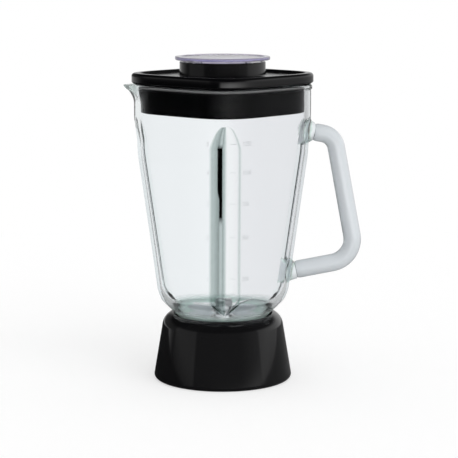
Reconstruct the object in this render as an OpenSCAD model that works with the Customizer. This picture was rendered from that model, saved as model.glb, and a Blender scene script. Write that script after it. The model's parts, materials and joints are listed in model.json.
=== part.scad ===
// Blender jug: a pressed glass jar on a screw collar that clamps a blade unit, with a lid and a filler cap.
// Millimetres. Z is up, the drive spindle is the Z axis and the jug stands on z = 0.
// The handle points along +X and the spout along -X; the flats of the rounded square face the diagonals.

/* [Collar] */
// Depth of the round recess in the foot that drops over the motor unit
seat_depth = 10; // [6:0.5:14]
// Height inside the collar between that recess and the ledge under the blade unit
drive_room = 18.5; // [17:0.5:24]
// Thickness of the ledge that carries the blade unit
ledge_t = 3; // [2:0.25:4]
// Radius of the hole in the ledge
ledge_hole_r = 26; // [22:0.5:28]
// Length of glass neck that the collar covers
collar_grip = 16; // [12:0.5:20]
// Radial gap between the glass neck and the threaded sleeve
thread_gap = 1.5; // [0.8:0.1:2.5]
// Radial step from the threaded sleeve out to the lead-in at the top
lead_in_w = 3; // [2:0.25:5]
// Depth of that lead-in
lead_in_h = 5; // [3:0.5:8]
// Height of the collar's crown above the bend of the glass neck
crown_h = 5.3; // [3:0.1:5.4]
// How far the crown's lip stands back from the lead-in
crown_lip_w = 2.3; // [2.1:0.1:3]
// How much lower the crown's shoulder is than its lip
crown_drop = 2.3; // [1:0.1:4]
// Width of the crown, with its round shoulder
rim_w = 10; // [9:0.5:14]
// How far the foot spreads beyond the top
collar_flare = 8.8; // [4:0.2:14]
// Width of the foot that the jug stands on, with its rounded edge
foot_w = 4.5; // [3.75:0.25:7]
// Radius of the rounded edge round the foot
foot_edge_r = 3; // [1:0.25:3]
// Radius of the round shoulder
shoulder_edge_r = 12; // [6:0.5:12]
// Radius of the edge of the lip
lip_edge_r = 0.8; // [0.4:0.1:1]
// Radius of the corner inside the shoulder
pocket_edge_r = 4.8; // [2:0.2:5]
// Wall thickness of the moulding
collar_wall = 2.7; // [2:0.1:3.5]
// Number of stiffening ribs inside
collar_ribs = 12; // [6:1:18]
// Thickness of each rib
rib_t = 1.8; // [1.2:0.1:2.5]

/* [Jar] */
// Height of the glass from its screw rim to its pouring rim
jar_h = 211.5; // [200:0.5:225]
// Half the diagonal of the rounded-square mouth
mouth_r = 72.8; // [70:0.2:76]
// Half the diagonal where the tapered wall meets the sloping bottom
heel_r = 55.4; // [53:0.2:58]
// Height of that bend above the screw rim
heel_h = 36.5; // [34:0.5:40]
// Radius of that bend
heel_bend_r = 26; // [16:1:32]
// Radius of the fillet between the bottom and the screw neck
neck_fillet_r = 4; // [2:0.5:6]
// Distance below the pouring rim where the wall starts to taper
shoulder_drop = 54; // [46:0.5:62]
// Radius of the bend there
shoulder_bend_r = 90; // [40:5:140]
// Outer radius of the screw neck
neck_r = 34.7; // [32.5:0.1:36]
// Thickness of the glass
glass_wall = 5.2; // [4:0.1:6]
// How square the mouth is: 2 is round, 6 is nearly square
mouth_power = 4.2; // [3:0.1:6]
// Height of the thickened bead round the pouring rim
bead_h = 4.5; // [3:0.5:7]
// How far the bead stands out
bead_out = 0.9; // [0.4:0.1:1.5]

/* [Flutes] */
// Width of each upright flute
flute_w = 22; // [16:0.5:26]
// Depth of each flute
flute_depth = 6.4; // [4:0.2:8]
// Distance of a flute's top below the pouring rim
flute_drop = 27.5; // [26:0.5:40]
// Height of the pointed arch that closes a flute at the top
flute_arch_h = 27; // [16:1:36]
// Height of a flute's tip above the screw rim
flute_foot_h = 26; // [22:0.5:30]
// Height over which a flute closes to that tip
flute_close_h = 11; // [8:0.5:16]

/* [Spout] */
// How far the spout reaches beyond the rim
spout_reach = 8.6; // [5:0.2:12]
// Width of the spout at the rim
spout_w = 32; // [22:1:40]
// Height over which the wall leans out into the spout
spout_h = 15; // [10:0.5:20]

/* [Handle] */
// Thickness of the handle seen from the side
handle_t = 14.6; // [12:0.2:18]
// Width of the handle seen from behind
handle_w = 18; // [14:0.5:22]
// Reach of the handle's upper corner from the axis
handle_top_x = 92.2; // [88:0.2:98]
// Reach of its lower corner from the axis
handle_low_x = 111.7; // [104:0.2:116]
// Distance of the upper root below the pouring rim
handle_top_drop = 39.5; // [36:0.5:44]
// Fall of the upper leg from its root to its corner
handle_top_fall = 3.1; // [0:0.1:6]
// Height of the lower root above the screw rim
handle_low_h = 56.5; // [52:0.5:60]
// Rise of the lower leg from its root to its corner
handle_low_rise = 9.4; // [4:0.1:14]
// Bend radius of the upper corner, at the middle of the bar
handle_top_bend = 14; // [10:0.5:18]
// Bend radius of the lower corner, at the middle of the bar
handle_low_bend = 20; // [14:0.5:26]
// How far the glass bosses stand out of the wall to meet the handle
boss_reach = 2.6; // [1.5:0.1:5]
// How much wider a boss is at the wall than at the handle
boss_flare = 3.2; // [1:0.2:5]

/* [Lid] */
// Gap between the pouring rim and the lid
lid_gap = 0.3; // [0.1:0.1:0.5]
// Height of the lid's rim
lid_rim_h = 9.3; // [7:0.1:12]
// How far the lid's rim stands out beyond the glass
lid_overhang = 1.9; // [1.2:0.1:3]
// Radius of the rounded edge on top of the rim
lid_edge_r = 2.8; // [1.5:0.1:3.5]
// Width of the raised border round the lid
lid_border_w = 9; // [7:0.5:12]
// Depth of the lid's plate below that border
lid_dip = 2.2; // [1:0.1:3]
// Wall thickness of the lid
lid_wall = 2.4; // [2:0.1:3]
// Depth of the skirt below the pouring rim
skirt_h = 23; // [16:0.5:24]
// Thickness of the rubber sleeve round the skirt
seal_t = 1.8; // [1.2:0.1:2.5]
// Clearance between that sleeve and the glass
seal_gap = 0.5; // [0.3:0.1:0.8]
// Inner radius of the filler neck
filler_r = 32.3; // [28:0.1:34]
// Wall thickness of the filler neck
filler_wall = 3; // [2:0.1:4]
// Height of the filler neck above the lid
filler_h = 9.2; // [6:0.2:14]
// Depth of the filler neck below the top of the lid
filler_depth = 14; // [8:0.5:18]

/* [Filler cap] */
// How far the cap's disc stands out beyond the filler neck
cap_overhang = 3.75; // [2:0.25:6]
// Thickness of the disc
cap_t = 2.7; // [2:0.1:4]
// Height of the lugs that hold the disc off the neck
cap_lug_h = 1.4; // [0.8:0.1:2.5]
// Angle that each lug covers
cap_lug_angle = 27; // [15:1:40]
// Radial clearance between the cap's cup and the filler neck
cap_gap = 0.7; // [0.4:0.1:1.2]
// Wall thickness of the cup
cup_wall = 2; // [1.4:0.1:3]
// Depth of the cup below the disc
cup_h = 25; // [16:0.5:30]
// Number of ribs under the lid
lid_ribs = 8; // [4:4:16]
// Height of those ribs
lid_rib_h = 5; // [3:0.5:8]

/* [Blade unit] */
// Thickness of the carrier's flange
flange_t = 3; // [2:0.25:4]
// Thickness of the rubber ring between the glass and the flange
gasket_t = 2.5; // [1.5:0.25:3.5]
// Radial clearance of the carrier in the collar
carrier_gap = 0.3; // [0.2:0.1:0.6]
// Radial clearance between the carrier's plug and the glass neck
plug_gap = 0.6; // [0.4:0.1:1]
// Height of the plug above the flange
plug_h = 6; // [4:0.5:9]
// Wall thickness of the carrier
carrier_wall = 2.8; // [2:0.1:3.5]
// Outer radius of the bearing boss
boss_r = 10.5; // [9.5:0.25:13]
// Height of the bearing boss above the flange
boss_h = 22.5; // [20:0.5:26]
// Depth of the bearing boss below the flange's top
boss_drop = 5; // [4:0.25:6]
// Outer radius of the bronze bushings
bush_r = 6; // [5.25:0.25:7]
// Length of each bushing
bush_l = 8.5; // [6:0.5:9]
// Outer radius of the shaft seal
seal_r = 7.6; // [7.25:0.1:8.5]
// Height of the shaft seal
seal_h = 4; // [3:0.5:5]

/* [Spindle and blades] */
// Radius of the bores that the spindle runs in
spindle_bore_r = 4; // [3.5:0.1:4.5]
// Radial running clearance of the spindle
run_gap = 0.05; // [0.03:0.01:0.08]
// Radius of the threaded ends of the spindle
stud_r = 2.9; // [2.6:0.1:3]
// Thickness of each thrust washer
washer_t = 0.8; // [0.5:0.1:1.2]
// Outer radius of the thrust washers
washer_r = 7; // [6.5:0.25:8]
// End play between the washers and the boss
end_play = 0.2; // [0.1:0.05:0.4]
// Thickness of the blades
blade_t = 1.5; // [1:0.1:2]
// Reach of the blade tips
blade_r = 25.4; // [22:0.1:28]
// Width of a blade at its hub
blade_w = 12.5; // [11:0.5:15]
// Thickness of the spacer between the blades
spacer_t = 1.5; // [1:0.1:3]
// Width across flats of the blade nut
nut_flats = 10; // [9:0.5:12]
// Height of the blade nut
nut_h = 5.5; // [4:0.5:7]

/* [Drive coupling] */
// Outer radius of the coupling
coupler_r = 15; // [14:0.5:18]
// Height of the coupling
coupler_h = 12.5; // [10.5:0.25:13]
// Gap between the seat recess and the coupling
coupler_lift = 1; // [0.5:0.25:2]
// Radius of the socket between its teeth
socket_r = 9; // [8:0.25:10]
// Radius to the bottom of the tooth slots
socket_slot_r = 12; // [11:0.25:12.5]
// Number of teeth in the socket
socket_teeth = 6; // [4:1:8]
// Depth of the socket
socket_h = 7.5; // [5:0.25:8]
// Width across flats of the brass insert
insert_flats = 9; // [8:0.5:10]

/* [Hidden] */
$fn = 64;

eps = 0.01;
far = 400;

// Heights of the stack, from the table up
ledge_z = seat_depth + drive_room;
flange_z = ledge_z + flange_t;
neck_z = flange_z + gasket_t;
neck_top_z = neck_z + collar_grip;
collar_h = neck_top_z + crown_h;
rim_z = neck_z + jar_h;
lid_z = rim_z + lid_gap;
lid_top_z = lid_z + lid_rim_h;
filler_top_z = lid_top_z + filler_h;
disc_z = filler_top_z + cap_lug_h;

// ---------------------------------------------------------------- shared functions

function unit(v) = v / norm(v);
function clamp(t, low = 0, high = 1) = max(low, min(high, t));
function turn(a) = a > 180 ? a - 360 : a < -180 ? a + 360 : a;

// The arc of radius r that rounds the corner b between a and c
function corner_arc(a, b, c, r, steps) =
    let (
        u = unit(a - b),
        w = unit(c - b),
        half = acos(clamp(u * w, -1, 1)) / 2,
        centre = b + unit(u + w) * r / sin(half),
        from = b + u * r / tan(half) - centre,
        to = b + w * r / tan(half) - centre,
        start = atan2(from[1], from[0]),
        sweep = turn(atan2(to[1], to[0]) - start))
    [for (i = [0:steps]) centre + r * [cos(start + sweep * i / steps), sin(start + sweep * i / steps)]];

// A line through the points, with each inner corner rounded to its own radius
function rounded_line(points, radii, steps) =
    [for (i = [0:len(points) - 1])
        each (i == 0 || i == len(points) - 1 || radii[i] == 0)
            ? [points[i]]
            : corner_arc(points[i - 1], points[i], points[i + 1], radii[i], steps)];

// Polar radius of a rounded square whose corners lie on the axes, at angle d from its nearest corner
function squircle(d, r, power) =
    r * pow(2, 1 / power) / sqrt(2)
    / pow(pow(abs(cos(45 + d)), power) + pow(abs(sin(45 + d)), power), 1 / power);

// A closed solid from rings of points, each joined to the next and the last to the first
module ring_loop(rings) {
    m = len(rings);
    n = len(rings[0]);
    polyhedron(
        points = [for (ring = rings) each ring],
        faces = [for (i = [0:m - 1], j = [0:n - 1])
            let (k = (i + 1) % m, l = (j + 1) % n)
            each [[i * n + j, k * n + j, k * n + l], [i * n + j, k * n + l, i * n + l]]],
        convexity = 10);
}

// Angles round a section, closer together at the four corners, where the flutes are
corner_steps = [-45, -35, -26.5, -19.5, -14, -10.5, -8, -5.5, -2.8, 0, 2.8, 5.5, 8, 10.5, 14, 19.5, 26.5, 35];
section_angles = [for (corner = [0:90:270], d = corner_steps) corner + d];
function from_corner(a) = turn(a - 90 * round(a / 90));

// ---------------------------------------------------------------- jar

heel_z = neck_z + heel_h;
shoulder_z = rim_z - shoulder_drop;
flute_top_z = rim_z - flute_drop;
flute_foot_z = neck_z + flute_foot_h;
throat_r = neck_r - glass_wall;

// The left-hand normal of the stretch from a to b
function left_of(a, b) = let (d = unit(b - a)) [-d[1], d[0]];

// A line moved to its left by t, keeping its corners
function shifted(points, t) =
    let (last = len(points) - 1)
    [for (i = [0:last])
        let (
            before = left_of(points[max(i - 1, 0)], points[max(i, 1)]),
            after = left_of(points[min(i, last - 1)], points[min(i + 1, last)]),
            middle = unit(before + after))
        points[i] + middle * t / (middle * before)];

// The wall as [radius, height] from the screw rim up, moved inwards by inset
function wall_line(inset) = rounded_line(
    shifted(
        [[neck_r, neck_z], [neck_r, neck_top_z], [heel_r, heel_z], [mouth_r, shoulder_z], [mouth_r, rim_z]],
        inset),
    [0, neck_fillet_r + inset, heel_bend_r - inset, shoulder_bend_r - inset, 0], 4);

// Squareness grows from round at the neck to the mouth's
function power_at(z) = 2 + (mouth_power - 2) * pow(clamp((z - neck_top_z - 3) / (shoulder_z - neck_top_z)), 0.6);

// Width and depth of a flute at a height, as shares of the full ones
function flute_open(z) =
    z > flute_top_z || z < flute_foot_z ? 0
    : z > flute_top_z - flute_arch_h ? pow((flute_top_z - z) / flute_arch_h, 0.7)
    : z < flute_foot_z + flute_close_h ? (z - flute_foot_z) / flute_close_h
    : 1;
function flute_sink(z) = sin(90 * clamp((flute_top_z - z) / flute_arch_h))
    * clamp((z - flute_foot_z) / flute_close_h);

// How far a flute cuts in at angle d from its middle: sharp is the outer vee, the inner swelling is round
function flute_cut(d, z, r, sharp) =
    let (half = asin(clamp(flute_w / 2 * flute_open(z) / r, 0, 0.9)), u = half > 0 ? abs(d) / half : 2)
    u >= 1 ? 0 : flute_depth * flute_sink(z) * (sharp ? 1 - sin(90 * u) : pow(cos(90 * u), 2));

function spout_lean(a, z) =
    let (half = asin(spout_w / 2 / mouth_r), d = abs(turn(a - 180)))
    d >= half ? 0 : spout_reach * pow(clamp((z - rim_z + spout_h) / spout_h), 1.8) * pow(cos(90 * d / half), 2);

function jar_ring(r, z, sharp) = [for (a = section_angles)
    let (rr = squircle(from_corner(a), r, power_at(z)) - flute_cut(from_corner(a), z, r, sharp)
        + spout_lean(a, z))
    [rr * cos(a), rr * sin(a), z]];

// Adds heights between the profile's corners, so that the flutes follow their arch
function denser(path, gap) = [for (i = [0:len(path) - 1])
    each i == len(path) - 1 ? [path[i]]
    : let (parts = max(1, ceil((path[i + 1][1] - path[i][1]) / gap)))
        [for (k = [0:parts - 1]) path[i] + (path[i + 1] - path[i]) * k / parts]];

module jar_body() {
    outer = [for (p = denser(wall_line(0), 11)) if (p[1] < rim_z - bead_h - 1) p];
    inner = [for (p = denser(wall_line(glass_wall), 15)) if (p[1] < rim_z - 2) p];
    bead = [
        [mouth_r, rim_z - bead_h],
        [mouth_r + bead_out, rim_z - bead_h * 0.75],
        [mouth_r + bead_out, rim_z - 1.2],
        [mouth_r + bead_out - 0.9, rim_z]];
    lip = [[mouth_r - glass_wall + 0.6, rim_z], [mouth_r - glass_wall, rim_z - 1.2]];
    ring_loop(concat(
        [for (p = concat(outer, bead)) jar_ring(p[0], p[1], true)],
        [for (p = lip) jar_ring(p[0], p[1], false)],
        [for (i = [len(inner) - 1:-1:0]) jar_ring(inner[i][0], inner[i][1], false)]));
}

// Middle line of the handle as [x, z], from the face of the upper boss to the face of the lower one
handle_top_z = rim_z - handle_top_drop;
handle_low_z = neck_z + handle_low_h;
handle_low_wall = heel_r + (mouth_r - heel_r) * (handle_low_z - heel_z) / (shoulder_z - heel_z);
handle_line = rounded_line(
    [
        [mouth_r + boss_reach, handle_top_z],
        [handle_top_x, handle_top_z - handle_top_fall],
        [handle_low_x, handle_low_z + handle_low_rise],
        [handle_low_wall + boss_reach, handle_low_z]],
    [0, handle_top_bend, handle_low_bend, 0], 6);
handle_end = len(handle_line) - 1;

// A section of the bar at a point of the XZ plane, square to the direction along; half is half its thickness
function bar_ring(at, along, half, sides = 20) = [for (k = [0:sides - 1])
    let (a = 360 * k / sides, u = half * cos(a), v = half * handle_w / handle_t * sin(a))
    [at[0] + along[1] * u, v, at[1] - along[0] * u]];

// A solid swept through rings of points, closed at both ends
module ring_sweep(rings) {
    m = len(rings);
    n = len(rings[0]);
    polyhedron(
        points = [for (ring = rings) each ring],
        faces = concat(
            [[for (j = [0:n - 1]) j]],
            [for (i = [0:m - 2], j = [0:n - 1])
                let (l = (j + 1) % n)
                each [[i * n + j, i * n + n + j, i * n + n + l], [i * n + j, i * n + n + l, i * n + l]]],
            [[for (j = [n - 1:-1:0]) (m - 1) * n + j]]),
        convexity = 6);
}

// A boss that grows out of the wall and ends flat against the handle
module boss(face, along) {
    sink = flute_depth + glass_wall * 0.3;
    ring_sweep([for (p = [[-sink, 1.2], [0, 1], [boss_reach * 0.35, 0.45], [boss_reach * 0.7, 0.12], [boss_reach, 0]])
        bar_ring(face + along * (p[0] - boss_reach), along, handle_t / 2 + boss_flare * p[1])]);
}

module glass_jar() {
    color([0.82, 0.9, 0.88, 0.45])
        union() {
            jar_body();
            boss(handle_line[0], unit(handle_line[1] - handle_line[0]));
            boss(handle_line[handle_end], unit(handle_line[handle_end - 1] - handle_line[handle_end]));
        }
}

module jar_handle() {
    color([0.86, 0.88, 0.89])
        ring_sweep([for (i = [0:handle_end])
            bar_ring(
                handle_line[i],
                unit(handle_line[min(i + 1, handle_end)] - handle_line[max(i - 1, 0)]),
                handle_t / 2)]);
}

// ---------------------------------------------------------------- collar

sleeve_r = neck_r + thread_gap;
sleeve_outer_r = sleeve_r + collar_wall;
lead_in_r = sleeve_r + lead_in_w;
collar_top_r = lead_in_r + rim_w;
collar_foot_r = collar_top_r + collar_flare;
seat_r = collar_foot_r - foot_w;

lead_in_z = neck_top_z - lead_in_h;
crown_corner = [collar_top_r, collar_h - crown_drop];
crown_lip = [lead_in_r + crown_lip_w, collar_h];

// Radius of the collar's outside at a height
function collar_side(z) = collar_foot_r - collar_flare * z / crown_corner[1];

module collar_section() {
    pocket_z = lead_in_z - collar_wall;
    pocket_corner = shifted([[collar_foot_r, 0], crown_corner, crown_lip], collar_wall)[1];
    polygon(concat(
        rounded_line(
            [[seat_r, 0], [collar_foot_r, 0], crown_corner, crown_lip, [lead_in_r, neck_top_z - 1]],
            [0, foot_edge_r, shoulder_edge_r, lip_edge_r, 0], 7),
        [
            [lead_in_r, lead_in_z],
            [sleeve_r, lead_in_z],
            [sleeve_r, ledge_z],
            [ledge_hole_r, ledge_z],
            [ledge_hole_r, ledge_z - ledge_t],
            [sleeve_outer_r, ledge_z - ledge_t],
            [sleeve_outer_r, pocket_z],
            [lead_in_r + collar_wall, pocket_z]],
        rounded_line(
            [[lead_in_r + collar_wall, pocket_corner[1]], pocket_corner,
                [collar_side(seat_depth) - collar_wall, seat_depth + 1]],
            [0, pocket_edge_r, 0], 4),
        [[seat_r, seat_depth]]));
}

module collar_rib() {
    rib_low_z = seat_depth + 4;
    rib_top_z = lead_in_z - collar_wall + 1;
    rotate([90, 0, 0])
        translate([0, 0, -rib_t / 2])
            linear_extrude(rib_t)
                polygon([
                    [sleeve_outer_r - 1, rib_top_z],
                    [sleeve_outer_r - 1, ledge_z - ledge_t],
                    [collar_side(rib_low_z) - collar_wall - 3, rib_low_z],
                    [collar_side(rib_low_z) - collar_wall + 1, rib_low_z],
                    [collar_side(rib_top_z) - collar_wall + 1, rib_top_z]]);
}

module screw_collar() {
    color([0.08, 0.08, 0.085])
        union() {
            rotate_extrude($fn = 128) collar_section();
            for (i = [0:collar_ribs - 1])
                rotate([0, 0, 360 * (i + 0.5) / collar_ribs]) collar_rib();
        }
}

// ---------------------------------------------------------------- blade unit

plug_r = throat_r - plug_gap;
boss_top_z = flange_z + boss_h;
boss_low_z = flange_z - boss_drop;
seal_seat_z = boss_top_z - seal_h;
carrier_r = sleeve_r - carrier_gap;

module ring(r_out, r_in, h) {
    difference() {
        cylinder(r = r_out, h = h);
        translate([0, 0, -eps]) cylinder(r = r_in, h = h + 2 * eps);
    }
}

module jar_gasket() {
    color([0.85, 0.84, 0.8])
        translate([0, 0, flange_z]) ring(neck_r, plug_r + 0.2, gasket_t);
}

module blade_carrier() {
    plug_top_z = flange_z + plug_h;
    dome_z = flange_z + plug_h + 4;
    color([0.72, 0.73, 0.74])
        rotate_extrude($fn = 96)
            polygon(concat(
                [
                    [bush_r, boss_low_z],
                    [boss_r, boss_low_z],
                    [boss_r, dome_z - carrier_wall],
                    [plug_r - carrier_wall, plug_top_z - carrier_wall],
                    [plug_r - carrier_wall, ledge_z],
                    [carrier_r, ledge_z],
                    [carrier_r, flange_z],
                    [plug_r, flange_z]],
                rounded_line(
                    [[plug_r, flange_z + 1], [plug_r, plug_top_z], [boss_r, dome_z], [boss_r, boss_top_z],
                        [seal_r, boss_top_z]],
                    [0, 2, 2.5, 1, 0], 6),
                [
                    [seal_r, seal_seat_z],
                    [bush_r, seal_seat_z],
                    [bush_r, seal_seat_z - bush_l],
                    [bush_r - 0.9, seal_seat_z - bush_l],
                    [bush_r - 0.9, boss_low_z + bush_l],
                    [bush_r, boss_low_z + bush_l]]));
}

module bushing(z) {
    color([0.72, 0.5, 0.28])
        translate([0, 0, z]) ring(bush_r, spindle_bore_r, bush_l);
}

module upper_bushing() {
    bushing(seal_seat_z - bush_l);
}

module lower_bushing() {
    bushing(boss_low_z);
}

module shaft_seal() {
    lip_r = spindle_bore_r + 0.1;
    color([0.12, 0.12, 0.12])
        rotate_extrude()
            polygon([
                [bush_r - 0.5, seal_seat_z],
                [seal_r, seal_seat_z],
                [seal_r, boss_top_z],
                [lip_r + 1.2, boss_top_z],
                [lip_r, boss_top_z - 1],
                [lip_r, boss_top_z - 1.6],
                [bush_r - 0.5, seal_seat_z + 1.2]]);
}

// ---------------------------------------------------------------- spindle and blades

spindle_r = spindle_bore_r - run_gap;
washer_z = boss_top_z + end_play;
lower_blade_z = washer_z + washer_t;
spacer_z = lower_blade_z + blade_t;
upper_blade_z = spacer_z + spacer_t;
lock_z = upper_blade_z + blade_t;
nut_z = lock_z + washer_t;
coupler_z = seat_depth + coupler_lift;
coupler_top_z = coupler_z + coupler_h;
clip_t = 0.9;
low_washer_z = boss_low_z - end_play - washer_t;
clip_z = low_washer_z - clip_t;
clip_groove = 0.8;
insert_z = coupler_z + socket_h;
flat_half = stud_r + 0.1;
hub_gap = 0.05;

module double_flat(r, half, h) {
    intersection() {
        cylinder(r = r, h = h);
        translate([-far / 2, -half, 0]) cube([far, 2 * half, h]);
    }
}

module spindle() {
    color([0.78, 0.79, 0.8])
        difference() {
            union() {
                translate([0, 0, coupler_top_z + eps])
                    cylinder(r = spindle_r, h = lower_blade_z - coupler_top_z - eps);
                translate([0, 0, insert_z]) cylinder(r = stud_r, h = coupler_top_z - insert_z + 1);
                translate([0, 0, lower_blade_z - eps])
                    double_flat(spindle_r, flat_half, lock_z - lower_blade_z + eps);
                translate([0, 0, lock_z - 1]) cylinder(r = stud_r, h = nut_z + nut_h - lock_z - 0.5);
            }
            translate([0, 0, clip_z]) ring(spindle_r + 1, spindle_r - clip_groove, clip_t);
        }
}

module upper_thrust_washer() {
    color([0.8, 0.8, 0.78])
        translate([0, 0, washer_z]) ring(washer_r, spindle_bore_r + 0.1, washer_t);
}

module lower_thrust_washer() {
    color([0.8, 0.8, 0.78])
        translate([0, 0, low_washer_z]) ring(washer_r, spindle_bore_r + 0.1, washer_t);
}

module retaining_clip() {
    color([0.55, 0.56, 0.58])
        translate([0, 0, clip_z])
            difference() {
                ring(washer_r - 0.6, spindle_r - clip_groove, clip_t);
                translate([0, -2, -eps]) cube([far, 4, clip_t + 2 * eps]);
            }
}

// Plan of one wing, from the spindle out along +X: the trailing edge, the tip and the swept cutting edge
blade_half = blade_w / 2;
blade_bend_r = 8;
edge_from = [blade_r * 0.42, blade_half - 1.4];
edge_to = [blade_r, 6.4 - blade_half];
wing_plan = [
    [0, -blade_half],
    [blade_r * 0.4, -blade_half],
    [blade_r, 4.2 - blade_half],
    edge_to,
    edge_from,
    [0, blade_half]];

// What is ground off along the cutting edge of the wing that is bent up by lift
module bevel(lift) {
    stretch = [1 / cos(lift), 1];
    from = [(edge_from[0] - blade_bend_r) * stretch[0], edge_from[1]];
    to = [(edge_to[0] - blade_bend_r) * stretch[0], edge_to[1]];
    land = 0.25;
    reach = 3.2;
    over = 1;
    slope = (blade_t - land) / reach;
    translate([blade_bend_r, 0, 0])
        rotate([0, -lift, 0])
            translate([from[0], from[1], 0])
                rotate([0, 0, atan2(to[1] - from[1], to[0] - from[0])])
                    translate([-over, 0, 0])
                        rotate([90, 0, 90])
                            linear_extrude(norm(to - from) + 4 * over)
                                polygon([
                                    [-reach - over, blade_t + over * slope],
                                    [over, land - over * slope],
                                    [over, 3 * blade_t],
                                    [-reach - over, 3 * blade_t]]);
}

// A blade of two wings, bent up by right_lift at +X and by left_lift at -X, with the flats of its hole
// turned by hole_turn from them
module blade(right_lift, left_lift, hole_turn) {
    run = blade_r - blade_bend_r;
    under = [
        [-blade_r - 1, (run + 1) * tan(left_lift)],
        [-blade_bend_r, 0],
        [blade_bend_r, 0],
        [blade_r + 1, (run + 1) * tan(right_lift)]];
    difference() {
        intersection() {
            translate([0, 0, -far / 2]) linear_extrude(far) polygon(concat(wing_plan, -wing_plan));
            rotate([90, 0, 0])
                translate([0, 0, -blade_w])
                    linear_extrude(2 * blade_w)
                        polygon(concat(under, [for (i = [3:-1:0]) under[i] + [0, blade_t]]));
        }
        bevel(right_lift);
        rotate([0, 0, 180]) bevel(left_lift);
        rotate([0, 0, hole_turn])
            translate([0, 0, -eps])
                double_flat(spindle_r + hub_gap, flat_half + hub_gap, blade_t + 2 * eps);
    }
}

module lower_blade() {
    color([0.8, 0.81, 0.82])
        translate([0, 0, lower_blade_z]) rotate([0, 0, 90]) blade(-10, -6, 90);
}

module upper_blade() {
    color([0.8, 0.81, 0.82])
        translate([0, 0, upper_blade_z]) blade(20, 2, 0);
}

module blade_spacer() {
    color([0.7, 0.71, 0.72])
        translate([0, 0, spacer_z]) ring(5.8, spindle_r + hub_gap, spacer_t);
}

module lock_washer() {
    color([0.7, 0.71, 0.72])
        translate([0, 0, lock_z]) ring(5.6, stud_r + hub_gap, washer_t);
}

module blade_nut() {
    dome_r = nut_flats * 0.44;
    color([0.8, 0.81, 0.82])
        translate([0, 0, nut_z])
            difference() {
                union() {
                    cylinder(r = nut_flats / sqrt(3), h = nut_h - 2, $fn = 6);
                    rotate_extrude()
                        polygon(rounded_line(
                            [[0, 0], [dome_r, 0], [dome_r, nut_h], [0, nut_h]], [0, 0, 1.8, 0], 6));
                }
                translate([0, 0, -eps]) cylinder(r = stud_r + hub_gap, h = nut_h - 1);
            }
}

// ---------------------------------------------------------------- drive coupling

module drive_coupler() {
    color([0.1, 0.1, 0.1])
        translate([0, 0, coupler_z])
            difference() {
                rotate_extrude()
                    polygon(concat(
                        [[0, 0]],
                        rounded_line([[0, 0], [coupler_r, 0], [coupler_r, coupler_h], [0, coupler_h]],
                            [0, 1.2, 2.5, 0], 6),
                        [[0, coupler_h]]));
                translate([0, 0, -eps]) cylinder(r = socket_r, h = socket_h + eps);
                for (i = [0:socket_teeth - 1])
                    rotate([0, 0, 360 * i / socket_teeth])
                        translate([0, -2, -eps]) cube([socket_slot_r, 4, socket_h + eps]);
                translate([0, 0, socket_h - eps])
                    cylinder(r = insert_flats / sqrt(3), h = coupler_h, $fn = 6);
            }
}

module coupler_insert() {
    color([0.78, 0.62, 0.3])
        translate([0, 0, insert_z])
            difference() {
                cylinder(r = insert_flats / sqrt(3) - hub_gap, h = coupler_h - socket_h, $fn = 6);
                translate([0, 0, -eps]) cylinder(r = stud_r + hub_gap, h = coupler_h);
            }
}

// ---------------------------------------------------------------- lid

skirt_r = mouth_r - glass_wall - seal_gap - seal_t - 0.1;
lid_r = mouth_r + lid_overhang;
filler_outer_r = filler_r + filler_wall;

plate_top_z = lid_top_z - lid_dip;
plate_z = plate_top_z - lid_wall;
border_in_r = lid_r - lid_border_w;
border_slope_w = 1.2 * lid_dip;
skirt_z = rim_z - skirt_h;

function lid_ring(r, z, power = mouth_power) =
    [for (a = section_angles)
        let (rr = squircle(from_corner(a), r, power)) [rr * cos(a), rr * sin(a), z]];

module lid_tray() {
    edge = [for (t = [0:22.5:90]) [lid_r - lid_edge_r * (1 - cos(t)), lid_top_z - lid_edge_r * (1 - sin(t))]];
    ring_loop([
        lid_ring(lid_r - 0.8, lid_z),
        lid_ring(lid_r, lid_z + 0.8),
        for (p = edge) lid_ring(p[0], p[1]),
        lid_ring(border_in_r + border_slope_w, lid_top_z),
        lid_ring(border_in_r, plate_top_z),
        lid_ring(filler_r + filler_wall / 2, plate_top_z, 2),
        lid_ring(filler_r + filler_wall / 2, plate_z, 2),
        lid_ring(skirt_r - lid_wall, plate_z),
        lid_ring(skirt_r - lid_wall, skirt_z),
        lid_ring(skirt_r, skirt_z),
        lid_ring(skirt_r, plate_z),
        lid_ring(border_in_r + lid_wall, plate_z),
        lid_ring(border_in_r + lid_wall + border_slope_w, lid_top_z - lid_wall),
        lid_ring(lid_r - lid_wall, lid_top_z - lid_wall),
        lid_ring(lid_r - lid_wall, lid_z)]);
}

module lid() {
    color([0.07, 0.07, 0.075])
        union() {
            lid_tray();
            for (i = [0:lid_ribs - 1]) {
                a = 360 * i / lid_ribs;
                rotate([0, 0, a])
                    translate([filler_outer_r - 1, -lid_wall / 3, plate_z - lid_rib_h])
                        cube([
                            squircle(from_corner(a), skirt_r, mouth_power) - filler_outer_r + 1 - lid_wall / 2,
                            lid_wall * 2 / 3,
                            lid_rib_h + lid_wall / 2]);
            }
            rotate_extrude($fn = 96)
                polygon(rounded_line(
                    [[filler_r, plate_top_z], [filler_r, filler_top_z], [filler_outer_r, filler_top_z],
                        [filler_outer_r, lid_top_z - filler_depth], [filler_r, lid_top_z - filler_depth],
                        [filler_r, plate_top_z]],
                    [0, 0.8, 0.8, 0, 0, 0], 4));
        }
}

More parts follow.
